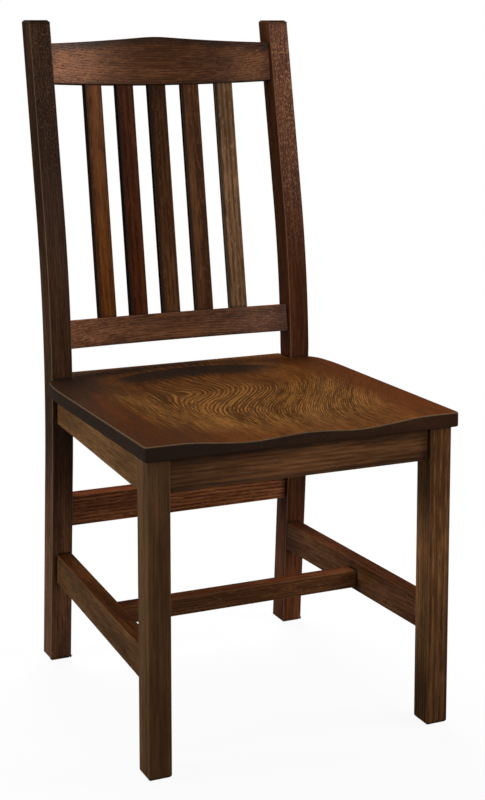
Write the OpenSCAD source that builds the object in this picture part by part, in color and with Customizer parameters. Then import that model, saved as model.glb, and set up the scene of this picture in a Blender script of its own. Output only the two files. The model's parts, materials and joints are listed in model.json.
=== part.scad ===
// Mission side chair: bent rear posts and straight front legs, aprons, a stretcher frame,
// two bowed rails with upright slats between them, and a solid saddle seat.
// Millimetres. +Z is up, the sitter faces -Y, and left and right are as seen from the front.
// The origin is on the floor, in the middle of the chair's width and depth.

/* [Front legs] */
// Width across the outsides of the front legs
front_width = 464; // [450:1:478]
// Width of a front leg, side to side
leg_w = 33.5; // [31:0.5:37]
// Depth of a front leg, front to back
leg_d = 36.5; // [35:0.5:40]

/* [Rear posts] */
// How much narrower the chair is across its posts than across its front legs
rear_taper = 20; // [8:1:34]
// Width of a post, side to side
post_w = 33.5; // [31:0.5:37]
// Thickness of a post, square to its face
post_d = 39.5; // [38:0.5:44]
// Height of the posts above the seat
back_height = 551; // [526:1:576]
// Depth on the floor, from the front of the legs to the back of the posts
floor_depth = 497; // [485:1:510]
// Angle at which the foot of a post kicks back
foot_rake = 4.2; // [3.6:0.1:4.8]
// Angle at which the upper part of a post leans back
back_lean = 11.5; // [11:0.1:12]
// Height above the seat at which the two straight parts of a post would meet
bend_above_seat = 58; // [48:1:68]
// Reach of the bend along each straight part
bend_reach = 204; // [190:1:215]
// Bevel round the ends of the posts and legs
end_bevel = 3; // [1:0.5:4]

/* [Seat] */
// Height of the seat's top at its edge
seat_height = 464; // [450:1:480]
// Thickness of the seat at its edge
seat_t = 21; // [19:0.5:25]
// How far the seat stands out in front of the legs
seat_front_over = 11; // [8:0.5:16]
// How far the seat stands out beside the front legs
seat_side_over = 6.5; // [4:0.5:10]
// How far the seat stands out behind the posts
seat_rear_over = 4; // [2:0.5:8]
// Radius of the seat's front corners
seat_corner_r = 5; // [4:0.5:12]
// Length of the curve that draws the seat's sides in to the posts
seat_sweep = 86; // [60:1:110]
// Depth of the hollow under the sitter
hollow_depth = 10.5; // [6:0.5:12]
// Depth of the two thigh channels at the front edge
thigh_depth = 7.8; // [4:0.1:9]
// Height of the ridge between the thigh channels at the front edge
pommel_h = 4.1; // [2:0.1:5]
// Distance between the middles of the thigh channels
thigh_spacing = 172; // [150:1:190]
// Width of the hollow from side to side
hollow_w = 394; // [350:1:400]
// Distance from the seat's back edge to the rim of the hollow
hollow_rear = 42; // [36:1:60]
// Easing of the seat's top and bottom edges
seat_ease = 1.5; // [0.5:0.25:3]

/* [Aprons] */
// Height of the aprons
apron_h = 49; // [44:1:60]
// Thickness of the aprons
apron_t = 20; // [18:0.5:21]
// Front apron, behind the front of the legs
front_apron_recess = 7; // [5:0.5:8]
// Rear apron, behind the front of the posts
rear_apron_recess = 9; // [8:0.5:12]

/* [Stretchers] */
// Height of the side stretchers' undersides
side_stretcher_z = 133; // [110:1:150]
// Height of a side stretcher from edge to edge
side_stretcher_h = 46; // [40:1:55]
// Thickness of the side stretchers
side_stretcher_t = 24; // [20:0.5:26]
// Clear height under the cross stretcher
cross_stretcher_z = 139; // [136:1:145]
// Height of the cross stretcher from edge to edge
cross_stretcher_h = 27; // [22:1:30]
// Thickness of the cross stretcher
cross_stretcher_t = 24; // [20:0.5:28]
// Cross stretcher, behind the front of the legs
cross_stretcher_back = 217; // [180:1:260]
// Height of the rear stretcher's underside
rear_stretcher_z = 222; // [195:1:250]
// Height of the rear stretcher from edge to edge
rear_stretcher_h = 49; // [40:1:60]
// Thickness of the rear stretcher
rear_stretcher_t = 22; // [18:0.5:24]
// Rear stretcher, behind the front of the posts
rear_stretcher_recess = 6; // [4:0.5:10]
// Side boards, inside the outer faces of the front legs
side_front_recess = 1; // [0.5:0.25:3]
// Side boards, inside the outer faces of the posts
side_rear_recess = 7.5; // [6:0.5:9]

/* [Back] */
// Tilt of the rails and slats
back_tilt = 9.5; // [9:0.1:10]
// Height of the lower rail's underside above the seat, at the posts
lower_rail_above_seat = 44; // [36:1:56]
// Lower rail, behind the front of the posts
rail_recess = 6.2; // [5:0.1:8]
// Thickness of both rails
rail_t = 21; // [19:0.5:22]
// Depth of the bow in both rails
rail_bow = 34; // [28:1:38]
// Height of the lower rail from edge to edge
lower_rail_h = 44; // [38:1:50]
// Distance from the top of the posts down to the crest's underside
crest_drop = 97; // [88:1:110]
// Height of the crest at the posts
crest_end_h = 62; // [54:1:70]
// Rise of the crest's top from its ends to its middle
crest_peak = 16; // [10:1:24]
// Half of the rounded length at the crest's peak
crest_tip = 22; // [15:1:35]
// Number of slats
slat_count = 5; // [3:1:6]
// Width of a slat
slat_w = 30.5; // [26:0.5:34]
// Thickness of a slat
slat_t = 11; // [9:0.5:12]
// Distance between the middles of neighbouring slats
slat_pitch = 57; // [52:1:60]

/* [Joints] */
// Length of the tenons on the aprons, rails and stretchers
tenon_len = 18; // [14:0.5:20]
// Thickness of those tenons
tenon_t = 8; // [6:0.5:9]
// Shoulder above and below a tenon
tenon_shoulder = 7; // [5:0.5:9]
// Wood left between two tenons in one post or leg
tenon_wall = 2.5; // [2:0.25:4]
// Length of the cross stretcher's tenons
cross_tenon_len = 13; // [10:0.5:15]
// Length of the slats' tenons
slat_tenon_len = 9; // [6:0.5:12]
// Shoulder all round a slat's tenon
slat_shoulder = 2; // [1:0.25:2.5]
// Room for glue round each tenon
glue_gap = 0.1; // [0.05:0.05:0.2]
// Room between the seat and the posts that it is cut round
notch_gap = 0.3; // [0.2:0.1:0.6]

/* [Corner blocks] */
// Height of a block
block_h = 30; // [26:1:38]
// Length of a block along its front or rear apron
block_len = 48; // [42:1:56]
// Room between a block and the leg or post that it passes
block_gap = 0.3; // [0.2:0.1:0.6]
// Radius of a screw's shank
screw_r = 2; // [1.6:0.1:2.4]
// Radius of a screw's head
screw_head_r = 4.2; // [3.6:0.1:5]
// Height of a screw's head
screw_head_h = 2.6; // [2:0.1:3.2]
// Length of a screw's point
screw_point = 4; // [3:0.5:5]
// How deep a screw goes into the seat or the leg
screw_bite = 12; // [10:0.5:13]
// Room round a screw in its hole
screw_gap = 0.2; // [0.1:0.05:0.4]

/* [Hidden] */

// Finish colours
post_brown = [0.20, 0.12, 0.08];
rail_brown = [0.30, 0.18, 0.11];
slat_brown = [0.27, 0.16, 0.09];
seat_brown = [0.38, 0.22, 0.10];
base_brown = [0.24, 0.14, 0.08];
block_tan = [0.62, 0.47, 0.30];
steel_grey = [0.62, 0.62, 0.62];

// One overrun serves every cut that has to pass a face
over = 5;
// Steps along the bend of a post, and round a whole circle
bend_steps = 28;
arc_fn = 240;
screw_fn = 32;
// Steps of the seat's top: between the notches, beside them, before them, behind them,
// and round a front corner
seat_mid_cols = 36;
seat_side_cols = 3;
seat_front_rows = 38;
seat_rear_rows = 4;
corner_steps = 4;

// Widths and heights that follow from the driving sizes
rear_width = front_width - rear_taper;
leg_inner = front_width / 2 - leg_w;
post_inner = rear_width / 2 - post_w;
post_height = seat_height + back_height;
bend_z = seat_height + bend_above_seat;
lower_rail_z = seat_height + lower_rail_above_seat;
crest_rise = (post_height - crest_drop - lower_rail_z) / cos(back_tilt);
seat_under = seat_height - seat_t;
apron_z = seat_under - apron_h;
block_z = seat_under - block_h;

// The post's side view. Y is measured back from the front of the legs.
bend_turn = foot_rake + back_lean;
bend_r = bend_reach / tan(bend_turn / 2);
bend_corner_y = floor_depth - tan(foot_rake) * bend_z;
bend_start = [bend_corner_y + sin(foot_rake) * bend_reach, bend_z - cos(foot_rake) * bend_reach];
bend_centre = bend_start + bend_r * [cos(foot_rake), sin(foot_rake)];
top_back_y = bend_corner_y + tan(back_lean) * (post_height - bend_z);
top_front_y = top_back_y - post_d / cos(back_lean);
foot_front_y = floor_depth - post_d / cos(foot_rake);
function bend_point(r, a) = bend_centre + r * [-cos(a), sin(a)];
function bend_points(r) = [
    for (i = [0 : bend_steps]) bend_point(r, -foot_rake + bend_turn * i / bend_steps)
];
front_r = bend_r + post_d;
post_front_line = concat([[foot_front_y, 0]], bend_points(front_r), [[top_front_y, post_height]]);
post_back_line = concat([[floor_depth, 0]], bend_points(bend_r), [[top_back_y, post_height]]);
// Front of a post at height z, in the straight foot or in the bend
front_bend_start_z = bend_point(front_r, -foot_rake)[1];
function post_front(z) = z < front_bend_start_z
    ? foot_front_y - tan(foot_rake) * z
    : bend_centre[0] - sqrt(pow(front_r, 2) - pow(z - bend_centre[1], 2));

// The bowed rails, as arcs about a centre in front of the back
crest_top = crest_end_h + crest_peak;
crest_slope = crest_peak / post_inner;
crest_tip_top = crest_top - crest_slope * crest_tip / 2;
bow_r = (pow(post_inner, 2) + pow(rail_bow, 2)) / (2 * rail_bow);
bow_centre = rail_bow - bow_r;
back_y = post_front(lower_rail_z) + rail_recess;
crest_back_y = back_y + (rail_bow + rail_t) * cos(back_tilt) + (crest_rise + crest_tip_top) * sin(back_tilt);
rail_end_middle = (sqrt(pow(bow_r + rail_t, 2) - pow(post_inner, 2)) + bow_centre) / 2;
slat_len = crest_rise - lower_rail_h;
slat_span = (slat_count - 1) / 2;
function slat_angle(x) = asin(x / (bow_r + rail_t / 2));

// The whole chair is centred over the origin
whole_depth = seat_front_over + max(top_back_y, floor_depth, crest_back_y);
leg_front = seat_front_over - whole_depth / 2;

// Side boards run from the back of a leg to the front of a post, drawn in towards the back
side_back_y = post_front(apron_z + apron_h / 2);
side_front_x = front_width / 2 - side_front_recess;
side_rear_x = rear_width / 2 - side_rear_recess;
side_slope = (side_front_x - side_rear_x) / (side_back_y - leg_d);
side_stretch = sqrt(1 + pow(side_slope, 2));
function side_outer(y) = side_front_x - side_slope * (y - leg_d);
function side_inner(y, t) = side_outer(y) - t * side_stretch;
function side_middle(y, t) = side_outer(y) - t * side_stretch / 2;

// Tenons that share a leg or a post stop short of each other
front_tenon_back = front_apron_recess + (apron_t + tenon_t) / 2;
side_front_tenon_len = leg_d - front_tenon_back - tenon_wall;
side_rear_tenon_len = rear_apron_recess + (apron_t - tenon_t) / 2 - tenon_wall;
rear_apron_y = post_front(apron_z + apron_h / 2) + rear_apron_recess;

// Seat outline. Y is measured back from the front of the legs.
seat_half_w = front_width / 2 + seat_side_over;
seat_front_y = -seat_front_over;
seat_back_y = post_front(seat_under + seat_t / 2) + post_d + seat_rear_over;
seat_depth = seat_back_y - seat_front_y;
notch_x = post_inner - notch_gap;
notch_y = post_front(seat_under + seat_t / 2) - notch_gap;
sweep_y = notch_y - seat_sweep;
sweep_in = seat_half_w - rear_width / 2;
function seat_half(y) = y < sweep_y
    ? seat_half_w
    : seat_half_w - sweep_in * (1 - sqrt(max(0, 1 - pow((y - sweep_y) / seat_sweep, 2))));

// The hollow: a bowl with a steep rim at the back, which runs out in two channels at the front
rim_y = seat_back_y - hollow_rear;
bowl_len_share = 0.31;
wall_floor_share = 0.69;
side_floor_share = 0.4;
pommel_w_share = 0.47;
pommel_len_share = 0.55;
wall_power = 2;
bowl_y = rim_y - bowl_len_share * seat_depth;
function ease(t) = let (c = min(1, max(0, t))) c * c * (3 - 2 * c);
function side_ratio(x) = abs(x) / (hollow_w / 2);
function rim_ratio(x, y) =
    sqrt(pow(side_ratio(x), 2) + pow(max(0, y - bowl_y) / (rim_y - bowl_y), 2));
function wall(ratio) = 1 - pow(1 - min(1, max(0, (1 - ratio) / (1 - wall_floor_share))), wall_power);
function channel_floor(y) =
    thigh_depth + (hollow_depth - thigh_depth) * ease((y - seat_front_y) / (bowl_y - seat_front_y));
function pommel(x, y) = pommel_h
    * pow(max(0, 1 - pow(x / (thigh_spacing * pommel_w_share), 2)), 2)
    * ease(1 - (y - seat_front_y) / (seat_depth * pommel_len_share));
function hollow(x, y) =
    channel_floor(y) * ease((1 - side_ratio(x)) / (1 - side_floor_share)) * wall(rim_ratio(x, y))
    - pommel(x, y);

// A box between two corners
module span(a, b) {
    translate(a) cube(b - a);
}

// A flat shape drawn in Y and Z, pushed from x1 to x2
module across(x1, x2) {
    translate([x1, 0, 0]) rotate([90, 0, 90]) linear_extrude(x2 - x1) children();
}

// Children moved so that Y starts at the front of the legs
module from_front() {
    translate([0, leg_front, 0]) children();
}

// Children drawn flat with X across, Y through the back and Z up the back
module on_back() {
    translate([0, back_y, lower_rail_z]) rotate([-back_tilt, 0, 0]) children();
}

// A piece and its mirror image
module on_side(side) {
    if (side == "left") mirror([1, 0, 0]) children();
    else children();
}

// The two ends of a piece that crosses the chair
module both_ends() {
    children();
    mirror([1, 0, 0]) children();
}

// Right-hand post before its mortises, with bevelled ends
module post_blank() {
    outline = concat(post_front_line, [for (i = [len(post_back_line) - 1 : -1 : 0]) post_back_line[i]]);
    intersection() {
        across(post_inner, rear_width / 2) difference() {
            polygon(outline);
            for (p = [[foot_front_y, 0], [floor_depth, 0],
                      [top_front_y, post_height], [top_back_y, post_height]])
                translate(p) rotate(45) square(end_bevel * sqrt(2), center = true);
        }
        bevelled_front(post_inner, rear_width / 2, post_height);
    }
}

// A front view with four bevelled corners, pushed right through the chair from front to back
module bevelled_front(x1, x2, height) {
    translate([0, top_back_y + over, 0]) rotate([90, 0, 0])
        linear_extrude(top_back_y + 2 * over) polygon([
            [x1 + end_bevel, 0], [x2 - end_bevel, 0], [x2, end_bevel], [x2, height - end_bevel],
            [x2 - end_bevel, height], [x1 + end_bevel, height], [x1, height - end_bevel], [x1, end_bevel]
        ]);
}

module rear_post(side) {
    color(post_brown) from_front() on_side(side) difference() {
        post_blank();
        on_back() rail_tenon(0, lower_rail_h, glue_gap);
        on_back() rail_tenon(crest_rise, crest_end_h, glue_gap);
        rear_apron_tenon(glue_gap);
        rear_stretcher_tenon(glue_gap);
        side_apron_rear_tenon(glue_gap);
        side_stretcher_rear_tenon(glue_gap);
        rear_block_pilot();
    }
}

module front_leg(side) {
    color(post_brown) from_front() on_side(side) difference() {
        intersection() {
            span([leg_inner, 0, 0], [front_width / 2, leg_d, seat_under]);
            bevelled_leg_foot();
        }
        front_apron_tenon(glue_gap);
        side_apron_front_tenon(glue_gap);
        side_stretcher_front_tenon(glue_gap);
        front_block_pilot();
    }
}

// A front leg's foot, bevelled on all four sides, and its square top
module bevelled_leg_foot() {
    intersection() {
        across(leg_inner, front_width / 2) polygon([
            [end_bevel, 0], [leg_d - end_bevel, 0], [leg_d, end_bevel],
            [leg_d, seat_under], [0, seat_under], [0, end_bevel]
        ]);
        translate([0, leg_d, 0]) rotate([90, 0, 0]) linear_extrude(leg_d) polygon([
            [leg_inner + end_bevel, 0], [front_width / 2 - end_bevel, 0],
            [front_width / 2, end_bevel], [front_width / 2, seat_under],
            [leg_inner, seat_under], [leg_inner, end_bevel]
        ]);
    }
}

// A rail's plan: a bowed board between the posts
module bowed_board() {
    intersection() {
        difference() {
            translate([0, bow_centre]) circle(bow_r + rail_t, $fn = arc_fn);
            translate([0, bow_centre]) circle(bow_r, $fn = arc_fn);
        }
        translate([-post_inner, -over]) square([2 * post_inner, rail_bow + rail_t + 2 * over]);
    }
}

// Right-hand tenon of a rail whose underside is at height up, with its shoulders
module rail_tenon(up, height, gap) {
    span([post_inner - over, rail_end_middle - tenon_t / 2 - gap, up + tenon_shoulder - gap],
         [post_inner + tenon_len + gap, rail_end_middle + tenon_t / 2 + gap,
          up + height - tenon_shoulder + gap]);
}

// Front view of the crest: straight slopes that meet in a rounded tip
module crest_outline() {
    function crest_y(x) = abs(x) > crest_tip
        ? crest_top - crest_slope * abs(x)
        : crest_top - crest_slope * (crest_tip + pow(x, 2) / crest_tip) / 2;
    tip_steps = 12;
    polygon(concat(
        [[-post_inner, 0], [post_inner, 0], [post_inner, crest_end_h]],
        [for (i = [tip_steps : -1 : -tip_steps]) let (x = crest_tip * i / tip_steps) [x, crest_y(x)]],
        [[-post_inner, crest_end_h]]
    ));
}

module crest_rail() {
    color(rail_brown) from_front() on_back() translate([0, 0, crest_rise]) difference() {
        union() {
            intersection() {
                linear_extrude(crest_top) bowed_board();
                translate([0, rail_bow + rail_t + over, 0]) rotate([90, 0, 0])
                    linear_extrude(rail_bow + rail_t + 2 * over) crest_outline();
            }
            both_ends() rail_tenon(0, crest_end_h, 0);
        }
        all_slats() slat_tenon(0, glue_gap);
    }
}

module lower_back_rail() {
    color(rail_brown) from_front() on_back() difference() {
        union() {
            linear_extrude(lower_rail_h) bowed_board();
            both_ends() rail_tenon(0, lower_rail_h, 0);
        }
        translate([0, 0, lower_rail_h]) all_slats() slat_tenon(0, glue_gap);
    }
}

// Children placed as slat number i, square to the bow of the rails
module at_slat(i) {
    x = (i - 1 - slat_span) * slat_pitch;
    translate([0, bow_centre, 0]) rotate(-slat_angle(x)) translate([0, bow_r + rail_t / 2, 0]) children();
}

module all_slats() {
    for (i = [1 : slat_count]) at_slat(i) children();
}

// Both tenons of a slat, seen from the rail's edge at height up
module slat_tenon(up, gap) {
    half_w = slat_w / 2 - slat_shoulder + gap;
    half_t = slat_t / 2 - slat_shoulder + gap;
    span([-half_w, -half_t, up - slat_tenon_len - gap], [half_w, half_t, up + slat_tenon_len + gap]);
}

module back_slat(i) {
    if (i <= slat_count) color(slat_brown) from_front() on_back()
        translate([0, 0, lower_rail_h]) at_slat(i) union() {
            span([-slat_w / 2, -slat_t / 2, 0], [slat_w / 2, slat_t / 2, slat_len]);
            span([slat_shoulder - slat_w / 2, slat_shoulder - slat_t / 2, -slat_tenon_len],
                 [slat_w / 2 - slat_shoulder, slat_t / 2 - slat_shoulder, slat_len + slat_tenon_len]);
        }
}

// The seat board: a grid over the hollow that stops short of the outline, an eased edge that
// runs round the grid, and a flat underside. Column 0 is on the left and row 0 is at the front.
seat_cols = seat_mid_cols + 2 * seat_side_cols;
seat_rows = seat_front_rows + seat_rear_rows;
seat_right_col = seat_cols - seat_side_cols;

function grid_y(j) = j <= seat_front_rows
    ? seat_front_y + seat_corner_r
        + (notch_y - seat_front_y - 2 * seat_corner_r) * j / seat_front_rows
    : notch_y - seat_corner_r + (seat_back_y - notch_y) * (j - seat_front_rows) / seat_rear_rows;

function grid_x(i, y) = let (c = i - seat_cols / 2, beside = abs(c) - seat_mid_cols / 2)
    beside <= 0
    ? (notch_x - seat_corner_r) * c / (seat_mid_cols / 2)
    : sign(c) * (notch_x - seat_corner_r + (seat_half(y) - notch_x) * beside / seat_side_cols);

// Right half of the edge, from the middle of the front to the middle of the back.
// Each entry is the column and row of a grid point, and the outline's point beside it.
right_edge = concat(
    [for (i = [seat_cols / 2 : seat_cols - 1]) [i, 0, grid_x(i, grid_y(0)), seat_front_y]],
    [for (k = [0 : corner_steps]) let (a = 90 * k / corner_steps)
        [seat_cols, 0, seat_half_w - seat_corner_r * (1 - sin(a)),
         seat_front_y + seat_corner_r * (1 - cos(a))]],
    [for (j = [1 : seat_front_rows - 1]) [seat_cols, j, seat_half(grid_y(j)), grid_y(j)]],
    [[seat_cols, seat_front_rows, seat_half(notch_y), notch_y]],
    [for (i = [seat_cols - 1 : -1 : seat_right_col + 1])
        [i, seat_front_rows, grid_x(i, notch_y), notch_y]],
    [[seat_right_col, seat_front_rows, notch_x, notch_y]],
    [for (j = [seat_front_rows + 1 : seat_rows - 1]) [seat_right_col, j, notch_x, grid_y(j)]],
    [[seat_right_col, seat_rows, notch_x, seat_back_y]],
    [for (i = [seat_right_col - 1 : -1 : seat_cols / 2])
        [i, seat_rows, grid_x(i, seat_back_y), seat_back_y]]
);
seat_edge = concat(
    right_edge,
    [for (k = [len(right_edge) - 2 : -1 : 1]) let (e = right_edge[k])
        [seat_cols - e[0], e[1], -e[2], e[3]]]
);

module seat_blank() {
    n = len(seat_edge);
    grid = [
        for (j = [0 : seat_rows], i = [0 : seat_cols])
            let (y = grid_y(j), x = grid_x(i, y)) [x, y, seat_height - hollow(x, y)]
    ];
    function at(i, j) = j * (seat_cols + 1) + i;
    function eased(e) = let (p = grid[at(e[0], e[1])], share = 1 - seat_ease / seat_corner_r)
        [p[0] + (e[2] - p[0]) * share, p[1] + (e[3] - p[1]) * share];
    top_eased = [for (e = seat_edge) let (p = eased(e)) [p[0], p[1], seat_height - hollow(p[0], p[1])]];
    upper = [for (e = seat_edge) [e[2], e[3], seat_height - hollow(e[2], e[3]) - seat_ease]];
    lower = [for (e = seat_edge) [e[2], e[3], seat_under + seat_ease]];
    under = [for (p = top_eased) [p[0], p[1], seat_under]];
    under_middle = [0, (seat_front_y + notch_y) / 2, seat_under];
    function ring(r, k) = let (e = seat_edge[k % n])
        r == 0 ? at(e[0], e[1]) : len(grid) + (r - 1) * n + k % n;
    cells = concat(
        [for (j = [0 : seat_front_rows - 1], i = [0 : seat_cols - 1]) [i, j]],
        [for (j = [seat_front_rows : seat_rows - 1], i = [seat_side_cols : seat_right_col - 1]) [i, j]]
    );
    faces = concat(
        [for (c = cells) [at(c[0], c[1]), at(c[0] + 1, c[1] + 1), at(c[0] + 1, c[1])]],
        [for (c = cells) [at(c[0], c[1]), at(c[0], c[1] + 1), at(c[0] + 1, c[1] + 1)]],
        [for (r = [0 : 3], k = [0 : n - 1]) if (ring(r, k) != ring(r, k + 1))
            [ring(r, k), ring(r, k + 1), ring(r + 1, k)]],
        [for (r = [0 : 3], k = [0 : n - 1]) [ring(r, k + 1), ring(r + 1, k + 1), ring(r + 1, k)]],
        [for (k = [0 : n - 1]) [len(grid) + 4 * n, ring(4, k), ring(4, k + 1)]]
    );
    polyhedron(points = concat(grid, top_eased, upper, lower, under, [under_middle]), faces = faces,
               convexity = 4);
}

module seat() {
    color(seat_brown) from_front() difference() {
        seat_blank();
        all_seat_screws() seat_pilot();
    }
}

module front_apron() {
    color(base_brown) from_front() union() {
        span([-leg_inner, front_apron_recess, apron_z],
             [leg_inner, front_apron_recess + apron_t, seat_under]);
        both_ends() front_apron_tenon(0);
    }
}

module front_apron_tenon(gap) {
    middle = front_apron_recess + apron_t / 2;
    span([leg_inner - over, middle - tenon_t / 2 - gap, apron_z + tenon_shoulder - gap],
         [leg_inner + tenon_len + gap, middle + tenon_t / 2 + gap, seat_under - tenon_shoulder + gap]);
}

module rear_apron() {
    color(base_brown) from_front() union() {
        span([-post_inner, rear_apron_y, apron_z], [post_inner, rear_apron_y + apron_t, seat_under]);
        both_ends() rear_apron_tenon(0);
    }
}

module rear_apron_tenon(gap) {
    middle = rear_apron_y + apron_t / 2;
    span([post_inner - over, middle - tenon_t / 2 - gap, apron_z + tenon_shoulder - gap],
         [post_inner + tenon_len + gap, middle + tenon_t / 2 + gap, seat_under - tenon_shoulder + gap]);
}

// Children placed at the foot of the rear stretcher, raked like the feet of the posts
module on_rake() {
    translate([0, post_front(rear_stretcher_z) + rear_stretcher_recess, rear_stretcher_z])
        rotate([foot_rake, 0, 0]) children();
}

module rear_stretcher() {
    color(base_brown) from_front() union() {
        on_rake() span([-post_inner, 0, 0], [post_inner, rear_stretcher_t, rear_stretcher_h]);
        both_ends() rear_stretcher_tenon(0);
    }
}

module rear_stretcher_tenon(gap) {
    on_rake() span([post_inner - over, (rear_stretcher_t - tenon_t) / 2 - gap, tenon_shoulder - gap],
                   [post_inner + tenon_len + gap, (rear_stretcher_t + tenon_t) / 2 + gap,
                    rear_stretcher_h - tenon_shoulder + gap]);
}

// The clear space between a front leg and the post behind it
module side_bay() {
    across(0, front_width) polygon(concat([[leg_d, 0]], post_front_line, [[leg_d, post_height]]));
}

// A board on the right-hand side, cut to fit between the leg and the post
module side_board(z, h, t) {
    y1 = leg_d - over;
    y2 = foot_front_y + over;
    intersection() {
        translate([0, 0, z]) linear_extrude(h) polygon([
            [side_outer(y1), y1], [side_outer(y2), y2],
            [side_inner(y2, t), y2], [side_inner(y1, t), y1]
        ]);
        side_bay();
    }
}

// A side board's front tenon and its rear tenon
module side_front_tenon(z, h, t, length, gap) {
    x = side_middle(leg_d, t);
    span([x - tenon_t / 2 - gap, leg_d - length - gap, z + tenon_shoulder - gap],
         [x + tenon_t / 2 + gap, leg_d + over, z + h - tenon_shoulder + gap]);
}

module side_rear_tenon(z, h, t, length, gap) {
    y = post_front(z + h / 2);
    x = side_middle(y, t);
    span([x - tenon_t / 2 - gap, y - over, z + tenon_shoulder - gap],
         [x + tenon_t / 2 + gap, y + length + gap, z + h - tenon_shoulder + gap]);
}

module side_apron_front_tenon(gap) {
    side_front_tenon(apron_z, apron_h, apron_t, side_front_tenon_len, gap);
}

module side_apron_rear_tenon(gap) {
    side_rear_tenon(apron_z, apron_h, apron_t, side_rear_tenon_len, gap);
}

module side_stretcher_front_tenon(gap) {
    side_front_tenon(side_stretcher_z, side_stretcher_h, side_stretcher_t, tenon_len, gap);
}

module side_stretcher_rear_tenon(gap) {
    side_rear_tenon(side_stretcher_z, side_stretcher_h, side_stretcher_t, tenon_len, gap);
}

module side_apron(side) {
    color(base_brown) from_front() on_side(side) union() {
        side_board(apron_z, apron_h, apron_t);
        side_apron_front_tenon(0);
        side_apron_rear_tenon(0);
    }
}

module side_stretcher(side) {
    color(base_brown) from_front() on_side(side) difference() {
        union() {
            side_board(side_stretcher_z, side_stretcher_h, side_stretcher_t);
            side_stretcher_front_tenon(0);
            side_stretcher_rear_tenon(0);
        }
        cross_tenon(glue_gap);
    }
}

// The cross stretcher's ends follow the inner faces of the side stretchers
module cross_stretcher() {
    y1 = cross_stretcher_back;
    y2 = y1 + cross_stretcher_t;
    x1 = side_inner(y1, side_stretcher_t);
    x2 = side_inner(y2, side_stretcher_t);
    color(base_brown) from_front() union() {
        translate([0, 0, cross_stretcher_z]) linear_extrude(cross_stretcher_h)
            polygon([[-x1, y1], [x1, y1], [x2, y2], [-x2, y2]]);
        both_ends() cross_tenon(0);
    }
}

module cross_tenon(gap) {
    middle = cross_stretcher_back + cross_stretcher_t / 2;
    x = side_inner(middle, side_stretcher_t);
    span([x - over, middle - tenon_t / 2 - gap, cross_stretcher_z + tenon_shoulder - gap],
         [x + cross_tenon_len + gap, middle + tenon_t / 2 + gap,
          cross_stretcher_z + cross_stretcher_h - tenon_shoulder + gap]);
}

// Corner blocks. A block fills the corner between two aprons, cut round the leg or post,
// and its long face is at 45 degrees, square to the screw that draws the corner together.
function block_reach(face_y, out, inner_x) =
    (face_y + out * (side_front_x + side_slope * leg_d - apron_t * side_stretch
        - inner_x + block_gap + block_len)) / (1 + out * side_slope);

module block_plan(face_y, out, inner_x, corner_y) {
    x1 = inner_x - block_gap;
    y2 = block_reach(face_y, out, inner_x);
    y3 = corner_y + out * block_gap;
    polygon([
        [x1, face_y], [x1 - block_len, face_y],
        [side_inner(y2, apron_t), y2], [side_inner(y3, apron_t), y3], [x1, y3]
    ]);
}

front_block_face = front_apron_recess + apron_t;
rear_block_corner = post_front(block_z + block_h / 2);

// Children placed on the long face, at the screw that points into the corner of the leg or post
corner_screw_up_share = 0.35;
module at_corner_screw(face_y, out, inner_x, corner_y) {
    s = (block_gap + block_len - abs(corner_y - face_y)) / 2;
    translate([inner_x - s, corner_y + out * s, block_z + block_h * corner_screw_up_share])
        rotate([0, 0, out > 0 ? -45 : 45]) rotate([0, 90, 0]) children();
}

module at_front_corner_screw() {
    at_corner_screw(front_block_face, 1, leg_inner, leg_d) children();
}

module at_rear_corner_screw() {
    at_corner_screw(rear_apron_y, -1, post_inner, rear_block_corner) children();
}

// Children placed under a block, at the screw that holds the seat down
seat_screw_along_share = 0.6;
seat_screw_in = 9.5;
module at_seat_screw(face_y, out, inner_x) {
    translate([inner_x - block_gap - block_len * seat_screw_along_share,
               face_y + out * seat_screw_in, block_z]) children();
}

module all_seat_screws() {
    both_ends() at_seat_screw(front_block_face, 1, leg_inner) children();
    both_ends() at_seat_screw(rear_apron_y, -1, post_inner) children();
}

// A round hole from z1 to z2 along the children's own Z
module hole(r, z1, z2) {
    translate([0, 0, z1]) cylinder(h = z2 - z1, r = r, $fn = screw_fn);
}

function corner_depth(face_y, corner_y) =
    (block_gap + block_len - abs(corner_y - face_y)) / 2 * sqrt(2);
front_corner_depth = corner_depth(front_block_face, leg_d);
rear_corner_depth = corner_depth(rear_apron_y, rear_block_corner);

module front_block_pilot() {
    at_front_corner_screw()
        hole(screw_r + screw_gap, front_corner_depth - over, front_corner_depth + screw_bite + screw_gap);
}

module rear_block_pilot() {
    at_rear_corner_screw()
        hole(screw_r + screw_gap, rear_corner_depth - over, rear_corner_depth + screw_bite + screw_gap);
}

module seat_pilot() {
    hole(screw_r + screw_gap, block_h - over, block_h + screw_bite + screw_gap);
}

module front_block(side) {
    color(block_tan) from_front() on_side(side) difference() {
        translate([0, 0, block_z]) linear_extrude(block_h)
            block_plan(front_block_face, 1, leg_inner, leg_d);
        at_front_corner_screw() hole(screw_r + screw_gap, -over, front_corner_depth + over);
        at_seat_screw(front_block_face, 1, leg_inner) hole(screw_r + screw_gap, -over, block_h + over);
    }
}

module rear_block(side) {
    color(block_tan) from_front() on_side(side) difference() {
        translate([0, 0, block_z]) linear_extrude(block_h)
            block_plan(rear_apron_y, -1, post_inner, rear_block_corner);
        at_rear_corner_screw() hole(screw_r + screw_gap, -over, rear_corner_depth + over);
        at_seat_screw(rear_apron_y, -1, post_inner) hole(screw_r + screw_gap, -over, block_h + over);
    }
}

// A round-headed wood screw: its head's underside is at zero and it points up
module wood_screw(length) {
    rotate_extrude($fn = screw_fn) polygon([
        [0, -screw_head_h], [screw_head_r * 0.6, -screw_head_h], [screw_head_r, -screw_head_h / 3],
        [screw_head_r, 0], [screw_r, 0], [screw_r, length - screw_point], [0, length]
    ]);
}

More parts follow.
